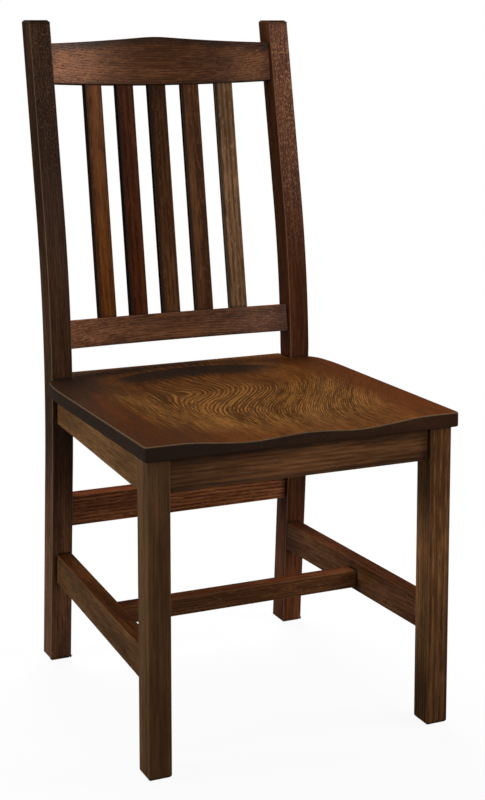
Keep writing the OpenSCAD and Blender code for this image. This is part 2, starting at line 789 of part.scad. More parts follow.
module corner_block_screws() {
    color(steel_grey) from_front() {
        both_ends() at_front_corner_screw() wood_screw(front_corner_depth + screw_bite);
        both_ends() at_rear_corner_screw() wood_screw(rear_corner_depth + screw_bite);
    }
}

module seat_screws() {
    color(steel_grey) from_front() all_seat_screws() wood_screw(block_h + screw_bite);
}

rear_post("left");  // rear_post_left
rear_post("right");  // rear_post_right
front_leg("left");  // front_leg_left
front_leg("right");  // front_leg_right
crest_rail();
lower_back_rail();
back_slat(1);  // back_slat_1
back_slat(2);  // back_slat_2
back_slat(3);  // back_slat_3
back_slat(4);  // back_slat_4
back_slat(5);  // back_slat_5
seat();
front_apron();
rear_apron();
side_apron("left");  // side_apron_left
side_apron("right");  // side_apron_right
side_stretcher("left");  // side_stretcher_left
side_stretcher("right");  // side_stretcher_right
cross_stretcher();
rear_stretcher();
front_block("left");  // corner_block_front_left
front_block("right");  // corner_block_front_right
rear_block("left");  // corner_block_rear_left
rear_block("right");  // corner_block_rear_right
corner_block_screws();
seat_screws();
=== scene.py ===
# %% [markdown]
# A mission dining chair in stained oak: square sticks, five upright slats and a saddle seat. The
# joiner's model comes first and nothing on it moves, since every piece already has its size and its
# place. What is added here is what a finisher would add: the edges are eased, the seat is carved
# smooth, and the wood gets its grain, stain and lacquer. Blender counts in metres and a maker in
# millimetres, so MM turns one into the other.

# %% Load the chair
import json
import math
import random

import bmesh
import bpy
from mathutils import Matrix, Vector
from mathutils.bvhtree import BVHTree

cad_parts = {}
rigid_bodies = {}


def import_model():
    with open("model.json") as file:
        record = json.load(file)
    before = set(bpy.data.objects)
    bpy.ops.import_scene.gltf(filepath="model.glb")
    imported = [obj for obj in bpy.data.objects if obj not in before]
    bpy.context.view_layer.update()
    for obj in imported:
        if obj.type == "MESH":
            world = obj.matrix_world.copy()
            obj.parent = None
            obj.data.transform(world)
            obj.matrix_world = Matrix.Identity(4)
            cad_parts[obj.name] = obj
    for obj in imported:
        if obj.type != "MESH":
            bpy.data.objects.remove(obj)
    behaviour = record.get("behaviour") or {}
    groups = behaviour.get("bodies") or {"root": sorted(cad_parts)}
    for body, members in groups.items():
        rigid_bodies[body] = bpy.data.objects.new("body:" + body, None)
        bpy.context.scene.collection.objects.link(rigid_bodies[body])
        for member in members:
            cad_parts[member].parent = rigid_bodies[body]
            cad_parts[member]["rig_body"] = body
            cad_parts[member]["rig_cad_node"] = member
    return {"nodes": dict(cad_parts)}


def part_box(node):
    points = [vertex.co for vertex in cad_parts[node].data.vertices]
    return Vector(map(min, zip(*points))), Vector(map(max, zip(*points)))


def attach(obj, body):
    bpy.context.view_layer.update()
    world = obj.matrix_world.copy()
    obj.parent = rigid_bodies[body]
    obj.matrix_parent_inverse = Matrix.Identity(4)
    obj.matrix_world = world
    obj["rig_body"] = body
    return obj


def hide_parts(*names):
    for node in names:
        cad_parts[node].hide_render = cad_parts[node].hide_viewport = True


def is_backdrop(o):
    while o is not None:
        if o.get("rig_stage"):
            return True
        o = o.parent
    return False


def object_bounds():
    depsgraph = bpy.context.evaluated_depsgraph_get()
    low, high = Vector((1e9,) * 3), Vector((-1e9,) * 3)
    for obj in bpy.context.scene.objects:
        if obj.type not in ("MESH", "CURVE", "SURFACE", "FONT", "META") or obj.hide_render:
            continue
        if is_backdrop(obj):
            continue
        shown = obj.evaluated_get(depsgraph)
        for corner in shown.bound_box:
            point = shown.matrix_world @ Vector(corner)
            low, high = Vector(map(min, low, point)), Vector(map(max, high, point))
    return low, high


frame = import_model()
chair_low, chair_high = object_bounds()
MM = 0.001
print("chair", [round(side, 3) for side in chair_high - chair_low], "m")

# %% [markdown]
# The camera stands in front of the chair, well to its left and about as high as its crest. It could
# be aimed by eye, but then edges that run away from the eye would meet in the wrong place. So its
# place, turn and lens come from a fit to the corners of the chair in the picture. The lens is
# shifted, as on a view camera, so that the chair fills an upright frame. It is set first, so that
# every later step can be looked at through it.

# %% Camera
camera_place = (-0.976425, -2.221441, 1.00843)
camera_tilt_down = math.radians(7.531)
camera_turn = math.radians(24.449)
lens_length = 73.427
lens_shift = -0.2
camera_data = bpy.data.cameras.new("camera")
camera_data.lens = lens_length
camera_data.shift_y = lens_shift
camera = bpy.data.objects.new("camera", camera_data)
camera.location = camera_place
camera.rotation_euler = (math.pi / 2 - camera_tilt_down, 0, -camera_turn)
bpy.context.scene.collection.objects.link(camera)
bpy.context.scene.camera = camera
print("lens", round(lens_length, 1), "mm")

# %% [markdown]
# The sticks and the seat are finished on copies of themselves, and the joiner's own are left as they
# were measured. A mesh that comes out of CAD is a heap of loose triangles, each with its own corners,
# while a bevel needs real edges between real faces. So the copy's corners are merged, and triangles
# that lie in one plane are dissolved into one face. An operator works on all that is selected, which
# is why everything is deselected before the copy is made.

# %% Copy a piece
merge_reach = 0.001 * MM
flat_turn = math.radians(0.1)


def copy_of(node):
    bpy.ops.object.select_all(action="DESELECT")
    source = frame["nodes"][node]
    source.select_set(True)
    bpy.context.view_layer.objects.active = source
    bpy.ops.object.duplicate()
    piece = bpy.context.object
    piece.name = node + "_finished"
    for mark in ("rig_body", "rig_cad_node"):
        if mark in piece:
            del piece[mark]
    piece.parent = None
    bpy.ops.object.mode_set(mode="EDIT")
    bpy.ops.mesh.select_all(action="SELECT")
    bpy.ops.mesh.remove_doubles(threshold=merge_reach)
    bpy.ops.mesh.dissolve_limited(angle_limit=flat_turn)
    bpy.ops.mesh.select_all(action="DESELECT")
    bpy.ops.object.mode_set(mode="OBJECT")
    return piece


print(len(frame["nodes"]), "pieces stand ready to be copied")

# %% [markdown]
# No edge of a finished chair is knife sharp: the maker takes each arris off with a stroke of a block
# plane and some abrasive paper. But the shoulder of a joint has to stay crisp to close, so an edge
# is eased only where nothing touches it. Edges could be picked by hand, one by one. Here the middle
# of each edge is held against the surfaces of the neighbouring pieces, and a BVH tree, which sorts a
# mesh's faces by place, answers quickly whether one of them is within reach.

# %% Tell a free edge from a joint
touch_room = 0.45 * MM
boxes = {node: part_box(node) for node in frame["nodes"]}


def surface_of(node):
    mesh = frame["nodes"][node].data
    corners = [corner.co.copy() for corner in mesh.vertices]
    return BVHTree.FromPolygons(corners, [tuple(face.vertices) for face in mesh.polygons])


surfaces = {node: surface_of(node) for node in frame["nodes"]}


def neighbours_of(node):
    low, high = boxes[node]
    near = []
    for other, (other_low, other_high) in boxes.items():
        apart = any(other_low[i] > high[i] + MM or other_high[i] < low[i] - MM for i in range(3))
        if other != node and not apart:
            near.append(surfaces[other])
    return near


def touches(place, near):
    return any(surface.find_nearest(place, touch_room)[0] for surface in near)


print("the seat may touch", len(neighbours_of("seat")), "pieces")

# %% [markdown]
# Three kinds of edge get three different strokes. A free arris is eased. At the shoulder of a tenon
# one side of the edge lies against the neighbour and the other is open, and a fine groove there
# holds the dark finish, as a real joint line does. The edges round the sole of a foot are rounded
# over further, so that the wood doesn't split when the chair is dragged. All three could be the same
# bevel, but then joints and feet would shine like arrises.

# %% Choose edges of one kind
sharp_turn = math.radians(24)
shoulder_probe = 2.5 * MM
foot_height = 4.0 * MM


def beside(edge, face):
    middle = (edge.verts[0].co + edge.verts[1].co) / 2
    along = (edge.verts[1].co - edge.verts[0].co).normalized()
    inwards = face.normal.cross(along)
    if inwards.dot(face.calc_center_median() - middle) < 0:
        inwards = -inwards
    return middle + inwards * shoulder_probe


def select_edges(piece, node, kind):
    near = neighbours_of(node)
    mesh = bmesh.from_edit_mesh(piece.data)
    count = 0
    for edge in mesh.edges:
        edge.select = False
        if len(edge.link_faces) != 2 or not edge.is_convex:
            continue
        if edge.calc_face_angle() < sharp_turn:
            continue
        middle = (edge.verts[0].co + edge.verts[1].co) / 2
        if touches(middle, near):
            hidden = [touches(beside(edge, face), near) for face in edge.link_faces]
            edge.select = kind == "shoulder" and hidden.count(True) == 1
        elif kind == "foot":
            low, high = sorted(corner.co.z for corner in edge.verts)
            edge.select = high < foot_height and high - low < touch_room
        else:
            edge.select = kind == "free"
        count += edge.select
    mesh.select_flush_mode()
    bmesh.update_edit_mesh(piece.data)
    return count


print("an edge is sharp from", round(math.degrees(sharp_turn)), "degrees")

# %% [markdown]
# The finish has to find these places again: glaze gathers in the grooves, and the eased arrises are
# rubbed thin and carry a painted highlight. It could look for sharp turns while it renders, but that
# is slow and finds joints too.
# Instead each face carries a number, an attribute, which a material can read. A bevel leaves its new
# faces selected, which marks the grooves. For the arrises it also puts them in a material slot of
# their own, which catches the small faces where two bevels meet. The slot is emptied afterwards.

# %% Mark grooves and arrises
rubbed_slot = 1


def mark_faces(piece, name):
    mesh = bmesh.from_edit_mesh(piece.data)
    layer = mesh.faces.layers.float.new(name)
    for face in mesh.faces:
        face[layer] = float(face.select)
    bmesh.update_edit_mesh(piece.data)


# Arris faces are marked for a paler rubbed colour that is also a painted highlight.
def mark_rubbed_faces(piece):
    faces = piece.data.polygons
    layer = piece.data.attributes.new("rubbed", "FLOAT", "FACE")
    layer.data.foreach_set("value", [float(face.material_index == rubbed_slot) for face in faces])
    faces.foreach_set("material_index", [0] * len(faces))


print("rubbed faces wait in material slot", rubbed_slot)

# %% [markdown]
# Now every stick is eased. The small round catches the light as a thin bright line along each edge.
# It could be faked in the material alone, but a real bevel keeps that line from every side, and the
# material adds a painted highlight on the arris as well. Shading is made smooth only across gentle
# turns, and weighted normals keep the broad faces flat, so that the line stays as narrow as the bevel.

# %% Ease every stick of the frame and back
arris = 0.9 * MM
groove = 1.3 * MM
foot_round = 1.8 * MM
round_steps = 3
crisp_turn = math.radians(35)
frame_nodes = [
    "rear_post_left", "rear_post_right", "front_leg_left", "front_leg_right",
    "front_apron", "rear_apron", "side_apron_left", "side_apron_right",
    "side_stretcher_left", "side_stretcher_right", "cross_stretcher", "rear_stretcher",
]
back_nodes = ["crest_rail", "lower_back_rail"] + [f"back_slat_{i}" for i in range(1, 6)]
finished = {}


def shade_crisp(piece, turn):
    bpy.ops.object.shade_smooth_by_angle(angle=turn)
    bpy.ops.object.modifier_add(type="WEIGHTED_NORMAL")
    weighted = piece.modifiers[-1]
    weighted.keep_sharp = True
    bpy.ops.object.modifier_apply(modifier=weighted.name)


def ease(node):
    piece = copy_of(node)
    while len(piece.data.materials) <= rubbed_slot:
        piece.data.materials.append(None)
    bpy.ops.object.mode_set(mode="EDIT")
    bpy.ops.mesh.select_mode(type="EDGE")
    shoulders = select_edges(piece, node, "shoulder")
    bpy.ops.mesh.bevel(offset=groove, offset_type="OFFSET", segments=1)
    bpy.ops.mesh.select_mode(type="FACE")
    mark_faces(piece, "glaze")
    bpy.ops.mesh.select_mode(type="EDGE")
    if select_edges(piece, node, "foot"):
        bpy.ops.mesh.bevel(offset=foot_round, offset_type="OFFSET", segments=round_steps)
    count = select_edges(piece, node, "free")
    bpy.ops.mesh.bevel(offset=arris, offset_type="OFFSET", segments=round_steps, material=rubbed_slot)
    bpy.ops.object.mode_set(mode="OBJECT")
    mark_rubbed_faces(piece)
    shade_crisp(piece, crisp_turn)
    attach(piece, "root")
    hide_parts(node)
    print(node, count, "edges eased,", shoulders, "shoulders grooved")
    return piece


for node in frame_nodes:
    finished[node] = ease(node)
for node in back_nodes:
    finished[node] = ease(node)

# %% [markdown]
# The seat is one board, scooped like a saddle: a bowl with a steep rim at the back runs out in two
# channels under the thighs, and a low ridge lies between them at the front, which turns the front
# edge into a wave. It could be sculpted by hand with a brush, but a rule in a few real sizes gives
# the same smooth surface every time, and it is the rule that the joiner's seat was cut to. All sizes
# here are in millimetres, and y is counted from the front of the legs.

# %% The rule of the hollow
leg_front = boxes["front_leg_left"][0].y / MM
seat_top = 464.0
seat_front = boxes["seat"][0].y / MM - leg_front
seat_back = boxes["seat"][1].y / MM - leg_front
seat_depth = seat_back - seat_front
rim_room = 42.0
bowl_share = 0.31
rim_back = seat_back - rim_room
bowl_middle = rim_back - bowl_share * seat_depth
wall_foot = 0.69
side_foot = 0.4
hollow_width = 394.0
hollow_depth = 10.5
thigh_depth = 7.8
thigh_spacing = 172.0
ridge_height = 4.1
ridge_width_share = 0.47
ridge_length_share = 0.55


def smooth(t):
    t = min(1.0, max(0.0, t))
    return t * t * (3 - 2 * t)


def hollow(x, y):
    side = abs(x) / (hollow_width / 2)
    rim = math.hypot(side, max(0.0, y - bowl_middle) / (rim_back - bowl_middle))
    wall = 1 - (1 - min(1.0, max(0.0, (1 - rim) / (1 - wall_foot)))) ** 2
    run_out = smooth((y - seat_front) / (bowl_middle - seat_front))
    floor_depth = thigh_depth + (hollow_depth - thigh_depth) * run_out
    ridge = ridge_height * max(0.0, 1 - (x / (thigh_spacing * ridge_width_share)) ** 2) ** 2
    ridge *= smooth(1 - (y - seat_front) / (seat_depth * ridge_length_share))
    return floor_depth * smooth((1 - side) / (1 - side_foot)) * wall - ridge


print("deepest", round(hollow(thigh_spacing / 2, bowl_middle), 1), "mm")

# %% [markdown]
# The joiner's seat follows that rule in coarse steps. The whole board could be remeshed, but then its
# outline would go soft. So a copy of it is cut finer on top only, where facets would show, and each
# new corner is brought to the rule. Faces are chosen by which way they look: those that look nearly
# straight up are the top, and those at a slant are the eased arris round it, marked as rubbed and
# lit, for a paler colour that is also a painted highlight.

# %% Carve the seat
arris_up = 0.3
top_up = 0.85
cuts = 3
seat_turn = math.radians(40)
seat = copy_of("seat")
bpy.ops.object.mode_set(mode="EDIT")
bpy.ops.mesh.select_mode(type="FACE")
mesh = bmesh.from_edit_mesh(seat.data)
for face in mesh.faces:
    face.select = arris_up < face.normal.z < top_up
print("arris of the seat,", sum(face.select for face in mesh.faces), "faces")
# The seat's arris is marked for a paler rubbed colour that is also a painted highlight.
mark_faces(seat, "rubbed")
for face in mesh.faces:
    face.select = face.normal.z > top_up
mesh.select_flush_mode()
bmesh.update_edit_mesh(seat.data)
bpy.ops.mesh.tris_convert_to_quads(face_threshold=math.pi, shape_threshold=math.pi)
bpy.ops.mesh.subdivide(number_cuts=cuts)
mesh = bmesh.from_edit_mesh(seat.data)
for corner in {corner for face in mesh.faces if face.select for corner in face.verts}:
    across, along = corner.co.x / MM, corner.co.y / MM - leg_front
    corner.co.z = (seat_top - hollow(across, along)) * MM
bmesh.update_edit_mesh(seat.data)
bpy.ops.mesh.normals_make_consistent(inside=False)
bpy.ops.object.mode_set(mode="OBJECT")
shade_crisp(seat, seat_turn)
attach(seat, "root")
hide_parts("seat")
print("seat", len(seat.data.polygons), "faces")

# %% [markdown]
# The seat is darker and redder towards its borders, and clear in the middle. It is darker still on
# the steep rim of the bowl, as a painted shadow of the rim, and in the back left corner by the post,
# as painted shade. It is also darker towards the front left corner, along the left border and down
# the edge of the board. It could be painted by hand, corner by corner. A rule in millimetres does
# the same, and its answer is stored on each corner of the mesh for the material to read. A ramp
# rises from nothing where it starts to its most after its reach.

# %% Border tone and painted shade on the seat
edge_depth = 1.0
fall_step = 2.0
rim_glaze = 0.88
rim_gentle = 0.05
rim_steep = 0.24
board_edge_glaze = 0.85
front_toner = 0.5
front_slant = 0.3
back_slant = 0.25
back_shift = 30


def ramp(value, start, reach, most=1):
    return most * smooth((value - start) / reach)


def seat_toner(x, y):
    right = ramp(x, start=150, reach=60)
    left = ramp(-x, start=150, reach=55, most=0.9)
    back = ramp(y + back_slant * abs(x + back_shift), start=305, reach=60, most=0.5)
    leftwards = front_toner + ramp(-x, start=0, reach=150, most=0.4)
    front = ramp(front_slant * abs(x) - y, start=-70, reach=90) * leftwards
    return 1 - (1 - right) * (1 - left) * (1 - back) * (1 - front)


# The rim of the bowl gets a painted shadow and the back left corner painted shade; the front left corner,
# left border and board edge are darker.
def seat_glaze(x, y, z):
    if seat_top - hollow(x, y) - z > edge_depth:
        thinner = ramp(x, start=0, reach=150, most=0.2) * ramp(-y, start=-60, reach=30)
        return board_edge_glaze - thinner
    back_corner = ramp(-x, start=110, reach=80, most=0.75) * ramp(y, start=270, reach=80)
    front_corner = ramp(-x, start=90, reach=90, most=0.45) * ramp(-y, start=-150, reach=110)
    left_border = ramp(-x, start=180, reach=45, most=0.5)
    glazed = max(back_corner, front_corner, left_border)
    if y > bowl_middle:
        fall = (hollow(x, y - fall_step) - hollow(x, y + fall_step)) / (2 * fall_step)
        glazed = max(glazed, ramp(fall, rim_gentle, rim_steep, most=rim_glaze))
    return glazed


def store(name, values):
    layer = seat.data.attributes.new(name, "FLOAT", "POINT")
    layer.data.foreach_set("value", values)
    print(name, "on the seat, on average", round(sum(values) / len(values), 2))


seat_corners = [(c.co.x / MM, c.co.y / MM - leg_front, c.co.z / MM) for c in seat.data.vertices]
store("toner", [seat_toner(x, y) for x, y, z in seat_corners])
store("glaze", [seat_glaze(x, y, z) for x, y, z in seat_corners])

# %% [markdown]
# A finish is wired up from many small shader nodes. Each helper below places one node, plugs in what
# it is given, a number or the result of another node, and hands back its own result. The wires could
# be drawn one by one, but this way a recipe further down reads like a sum. The Mix node keeps
# sockets for numbers, vectors and colours side by side, so those for colours are named by place.

# %% Node helpers
colour_first = 6
colour_second = 7
colour_result = 2


def feed(tree, socket, value):
    if isinstance(value, bpy.types.NodeSocket):
        tree.links.new(value, socket)
    else:
        socket.default_value = value


def calc(tree, operation, *values, clamp=False):
    node = tree.nodes.new("ShaderNodeMath")
    node.operation = operation
    node.use_clamp = clamp
    for socket, value in zip(node.inputs, values):
        feed(tree, socket, value)
    return node.outputs[0]


def times(tree, first, second):
    return calc(tree, "MULTIPLY", first, second)


def minus(tree, first, second):
    return calc(tree, "SUBTRACT", first, second)


def vector_calc(tree, operation, first, second):
    node = tree.nodes.new("ShaderNodeVectorMath")
    node.operation = operation
    feed(tree, node.inputs[0], first)
    feed(tree, node.inputs[1], second)
    return node.outputs[0]


def split(tree, vector):
    node = tree.nodes.new("ShaderNodeSeparateXYZ")
    feed(tree, node.inputs[0], vector)
    return node.outputs


def join(tree, x, y, z):
    node = tree.nodes.new("ShaderNodeCombineXYZ")
    for socket, value in zip(node.inputs, (x, y, z)):
        feed(tree, socket, value)
    return node.outputs[0]


def mix_colours(tree, share, first, second, way="MIX"):
    node = tree.nodes.new("ShaderNodeMix")
    node.data_type = "RGBA"
    node.blend_type = way
    feed(tree, node.inputs[0], share)
    feed(tree, node.inputs[colour_first], first)
    feed(tree, node.inputs[colour_second], second)
    return node.outputs[colour_result]


print("helpers for single nodes are ready")

# %% [markdown]
# Most of a finish is made with two more nodes. Noise gives soft random hills, and a band turns part
# of them into a mask: nothing below its low end, full above its high end, smooth in between.
# Pictures of noise would do too, but they repeat and have to be kept beside the file. The short
# helpers after them stand for sums that come back often: what a mask leaves free, the largest of
# some masks, and the squares of two lengths, added up.

# %% Masks
def noise(tree, vector, scale, detail, roughness=0.5, colour=False):
    node = tree.nodes.new("ShaderNodeTexNoise")
    feed(tree, node.inputs["Vector"], vector)
    node.inputs["Scale"].default_value = scale
    node.inputs["Detail"].default_value = detail
    node.inputs["Roughness"].default_value = roughness
    return node.outputs["Color" if colour else "Fac"]


def band(tree, value, low, high):
    node = tree.nodes.new("ShaderNodeMapRange")
    node.interpolation_type = "SMOOTHSTEP"
    feed(tree, node.inputs["Value"], value)
    feed(tree, node.inputs["From Min"], low)
    feed(tree, node.inputs["From Max"], high)
    return node.outputs[0]


def left_free(tree, mask):
    return minus(tree, 1, mask)


def largest(tree, first, *others):
    for other in others:
        first = calc(tree, "MAXIMUM", first, other)
    return first


def squares(tree, x, y):
    return calc(tree, "MULTIPLY_ADD", x, x, times(tree, y, y))


print("helpers for masks are ready")

# %% [markdown]
# A recipe that several materials share is kept as a node group with named inputs and outputs, like a
# jig that is made once and used on every stick. It could be copied into each material instead, but
# then a change would have to be made twenty times. The same goes for how a new material starts.

# %% Groups and materials
def new_group(name, takes, gives):
    tree = bpy.data.node_groups.new(name, "ShaderNodeTree")
    for way, sockets in (("INPUT", takes), ("OUTPUT", gives)):
        for label, kind in sockets:
            tree.interface.new_socket(name=label, in_out=way, socket_type="NodeSocket" + kind)
    print(name, "takes", len(takes), "and gives", len(gives))
    return tree, tree.nodes.new("NodeGroupInput").outputs, tree.nodes.new("NodeGroupOutput").inputs


def use_group(tree, group, values):
    node = tree.nodes.new("ShaderNodeGroup")
    node.node_tree = group
    for label, value in values.items():
        feed(tree, node.inputs[label], value)
    return node.outputs


def new_material(name):
    material = bpy.data.materials.new(name)
    material.use_nodes = True
    tree = material.node_tree
    return material, tree, tree.nodes["Principled BSDF"]


print("groups and materials can be made")

# %% [markdown]
# The rings of oak stand round its pith as sleeves, and a saw cuts them into the lines and arches of a
# board. An image of a board could be wrapped round each stick, but then the grain would not run
# through from one face to the next. Here the wood is worked out in the solid, in millimetres, so
# every face and every end cuts through it as a saw does. A tree is never straight, so the place is
# pushed sideways first by three noises, a slow one, a middling one and a fine one, all drawn out
# along the grain.

# %% Grain that wanders
figure_marks = ["Rings", "Strokes", "Pores", "Flecks", "Fibres", "Clouds", "Specks"]
oak_figure, taken, given = new_group(
    "oak figure",
    [("Place", "Vector"), ("Ring width", "Float"), ("Wander", "Float")],
    [(mark, "Float") for mark in figure_marks],
)
slow_push = join(oak_figure, taken["Wander"], taken["Wander"], 0)
middling_push = (1.6, 1.6, 0)
fine_push = (1.1, 1.1, 0)
noise_middle = (0.5, 0.5, 0.5)


def stretched(place, across, along):
    return vector_calc(oak_figure, "MULTIPLY", place, (across, across, along))


def pushed(place, along, scale, push):
    drift = noise(oak_figure, stretched(place, 1, along), scale, detail=2, colour=True)
    drift = vector_calc(oak_figure, "SUBTRACT", drift, noise_middle)
    return vector_calc(oak_figure, "ADD", place, vector_calc(oak_figure, "MULTIPLY", drift, push))


bent = pushed(taken["Place"], along=0.16, scale=0.012, push=slow_push)
bent = pushed(bent, along=0.2, scale=0.09, push=middling_push)
bent = pushed(bent, along=0.4, scale=0.3, push=fine_push)
print("grain is pushed sideways by three noises")

# %% [markdown]
# One growth ring has two parts. The wood of spring is open and takes stain like a sponge, so it
# turns into a dark line, broken here and there. The wood of summer is hard, and on a wiped seat it
# stays behind as pale strokes. Blender's Wave texture makes rings too, but with one profile for
# both. Here the distance to the pith is divided by the width of a ring, and what follows the point
# runs from 0 to 1 in each ring, so that each part can rise and fall where it should.

# %% Rings and strokes
x, y, z = split(oak_figure, bent)
radius = calc(oak_figure, "SQRT", squares(oak_figure, x, y))
ring = calc(oak_figure, "FRACT", calc(oak_figure, "DIVIDE", radius, taken["Ring width"]))


def grain(across, along, scale, detail, roughness=0.5):
    return noise(oak_figure, stretched(bent, across, along), scale, detail, roughness)


def ring_part(rise, fall):
    ends = left_free(oak_figure, band(oak_figure, ring, *fall))
    return times(oak_figure, band(oak_figure, ring, *rise), ends)


breaks = band(oak_figure, grain(across=0.25, along=0.035, scale=1.0, detail=2), 0.3, 0.6)
spring = times(oak_figure, ring_part(rise=(0.0, 0.12), fall=(0.2, 0.75)), breaks)
feed(oak_figure, given["Rings"], spring)
streaks = band(oak_figure, grain(across=0.28, along=0.03, scale=1.0, detail=2), 0.43, 0.58)
summer = times(oak_figure, ring_part(rise=(0.48, 0.68), fall=(0.72, 0.95)), streaks)
feed(oak_figure, given["Strokes"], summer)
print("rings are wired with", len(oak_figure.nodes), "nodes so far")

# %% [markdown]
# Five finer marks lie over the rings. Pores are short dark dashes, closer together in the wood of
# spring. Rays run outwards from the pith and show as small pale flecks, so their noise is laid out
# by distance and by angle. Glints are short bright dots on a rough cut face, a painted highlight
# where the light would catch it. Fibres are fine threads, and clouds are slow changes. One noise
# could serve for all, but each mark has a length of its own along the grain, and that is what makes
# it read as oak.

# %% Pores, rays and fibres
pore_crowd = 0.08
ray_across = 0.42
ray_around = 200
ray_along = 0.1
dashes = calc(oak_figure, "MULTIPLY_ADD", spring, pore_crowd, grain(1, along=0.045, scale=0.7, detail=1))
feed(oak_figure, given["Pores"], band(oak_figure, dashes, 0.58, 0.68))
ray_place = join(
    oak_figure,
    times(oak_figure, radius, ray_across),
    times(oak_figure, calc(oak_figure, "ARCTAN2", y, x), ray_around),
    times(oak_figure, z, ray_along),
)
rays = noise(oak_figure, ray_place, scale=1.0, detail=1)
feed(oak_figure, given["Flecks"], band(oak_figure, rays, 0.6, 0.72))
specks = grain(1, along=0.45, scale=0.5, detail=1)
feed(oak_figure, given["Specks"], band(oak_figure, specks, 0.54, 0.62))
feed(oak_figure, given["Fibres"], grain(1, along=0.025, scale=0.4, detail=4, roughness=0.65))
feed(oak_figure, given["Clouds"], grain(1, along=0.1, scale=0.04, detail=4, roughness=0.65))
print("oak figure has", len(oak_figure.nodes), "nodes")

# %% [markdown]
# Stain and lacquer. A dark stain goes on first and is wiped off: it stays in the pores and in the
# wood of spring, and hardly takes on the hard rays. A border tone tints it, glaze darkens the grooves
# of the joints, and painted shade darkens corners, narrow sides and edges. An arris is rubbed back to
# paler wood with a painted highlight, left and top faces get a tint of painted light, and stretches
# of a stick turn lighter or darker. Painting all that as one picture would tie it to one board. Here
# each coat is laid over the last in the order of the workshop, each with a share that says how much
# of it stays, and each piece of wood brings its own colours.

# %% Coats of stain
stained_oak, taken, given = new_group(
    "stained oak",
    [(mark, "Float") for mark in ("Rings", "Pores", "Flecks", "Fibres", "Clouds")]
    + [(mask, "Float") for mask in ("Toner", "Glaze", "Rubbed")]
    + [(share, "Float") for share in ("Ring share", "Pore share", "Rub share")]
    + [(wood, "Color") for wood in ("Deep", "Body", "Light", "Ray", "Tint")]
    + [(coat, "Color") for coat in ("Toner colour", "Glaze colour", "Rub colour")],
    [("Colour", "Color"), ("Roughness", "Float"), ("Height", "Float")],
)
cloud_weight = -0.7
fibre_lift = 0.35
cloud_share = 0.6
toner_cover = 0.8
fair = calc(stained_oak, "ADD", taken["Fibres"], fibre_lift)
fair = calc(stained_oak, "MULTIPLY_ADD", taken["Clouds"], cloud_weight, fair)
colour = mix_colours(stained_oak, band(stained_oak, fair, 0.34, 0.68), taken["Body"], taken["Light"])
# Among the coats, the tint is painted light and tone, the glaze coat is glaze and painted shade, the rub
# is wear with a painted highlight, and the Ray colour also paints glints.
coats = [
    (times(stained_oak, band(stained_oak, taken["Clouds"], 0.38, 0.7), cloud_share), "Deep", "MIX"),
    (times(stained_oak, taken["Rings"], taken["Ring share"]), "Deep", "MIX"),
    (taken["Flecks"], "Ray", "MIX"),
    (times(stained_oak, taken["Pores"], taken["Pore share"]), "Deep", "MIX"),
    (times(stained_oak, taken["Toner"], toner_cover), "Body", "MIX"),
    (taken["Toner"], "Toner colour", "MULTIPLY"),
    (1.0, "Tint", "MULTIPLY"),
    (taken["Glaze"], "Glaze colour", "MIX"),
    (times(stained_oak, taken["Rubbed"], taken["Rub share"]), "Rub colour", "MIX"),
]
for share, coat, way in coats:
    colour = mix_colours(stained_oak, share, colour, taken[coat], way)
feed(stained_oak, given["Colour"], colour)
print(len(coats), "coats over the bare wood")

# %% [markdown]
# The lacquer is satin: smooth, but not a mirror. Open pores break its skin and make it duller there,
# and they dent it, so the light catches the grain. That could be cut into the mesh, but pores are far
# too fine, so the group hands over a roughness and a height, and the material turns the height into
# a bump.

# %% Satin lacquer
satin = 0.27
pore_dull = 0.2
fibre_dull = 0.08
pore_dent = -0.6
ring_dent = -0.25
fibre_ridge = 0.3
rough = calc(stained_oak, "MULTIPLY_ADD", taken["Pores"], pore_dull, satin)
rough = calc(stained_oak, "MULTIPLY_ADD", taken["Fibres"], fibre_dull, rough)
feed(stained_oak, given["Roughness"], rough)
height = times(stained_oak, taken["Rings"], ring_dent)
height = calc(stained_oak, "MULTIPLY_ADD", taken["Pores"], pore_dent, height)
feed(stained_oak, given["Height"], calc(stained_oak, "MULTIPLY_ADD", taken["Fibres"], fibre_ridge, height))
print("stained oak has", len(stained_oak.nodes), "nodes")

# %% [markdown]
# Wood is cut along its grain, so the grain has to follow each stick. It could be laid on with an
# unwrapped map, but Object coordinates already give every point its place on the chair, in metres. A
# Mapping node turns them so that the third number runs along the stick, in millimetres. The posts
# are bent: above and below the seat they slant backwards, and a smooth maximum bends the grain with
# them. The slats only lean.

# %% Grain along a stick
grain_turn = {"z": (0, 0, 0), "x": (0, -math.pi / 2, 0), "y": (math.pi / 2, 0, 0)}
bend_height = 522.0
bend_reach = 160.0
post_lean = math.radians(11.5)
post_rake = math.radians(4.2)
slat_lean = math.radians(9.5)


def grain_place(tree, spot, direction):
    turn = tree.nodes.new("ShaderNodeMapping")
    feed(tree, turn.inputs["Vector"], spot)
    turn.inputs["Scale"].default_value = (1 / MM, 1 / MM, 1 / MM)
    turn.inputs["Rotation"].default_value = grain_turn[direction]
    return turn.outputs[0]


def follow_post(tree, place):
    x, y, z = split(tree, place)
    above = calc(tree, "SMOOTH_MAX", minus(tree, z, bend_height), 0, bend_reach)
    below = calc(tree, "SMOOTH_MAX", minus(tree, bend_height, z), 0, bend_reach)
    y = minus(tree, y, times(tree, above, math.tan(post_lean)))
    y = minus(tree, y, times(tree, below, math.tan(post_rake)))
    return join(tree, x, y, z)


def lean_back(tree, place):
    x, y, z = split(tree, place)
    y = minus(tree, y, times(tree, z, math.tan(slat_lean)))
    return join(tree, x, y, z)


print("grain can run along", ", ".join(grain_turn))

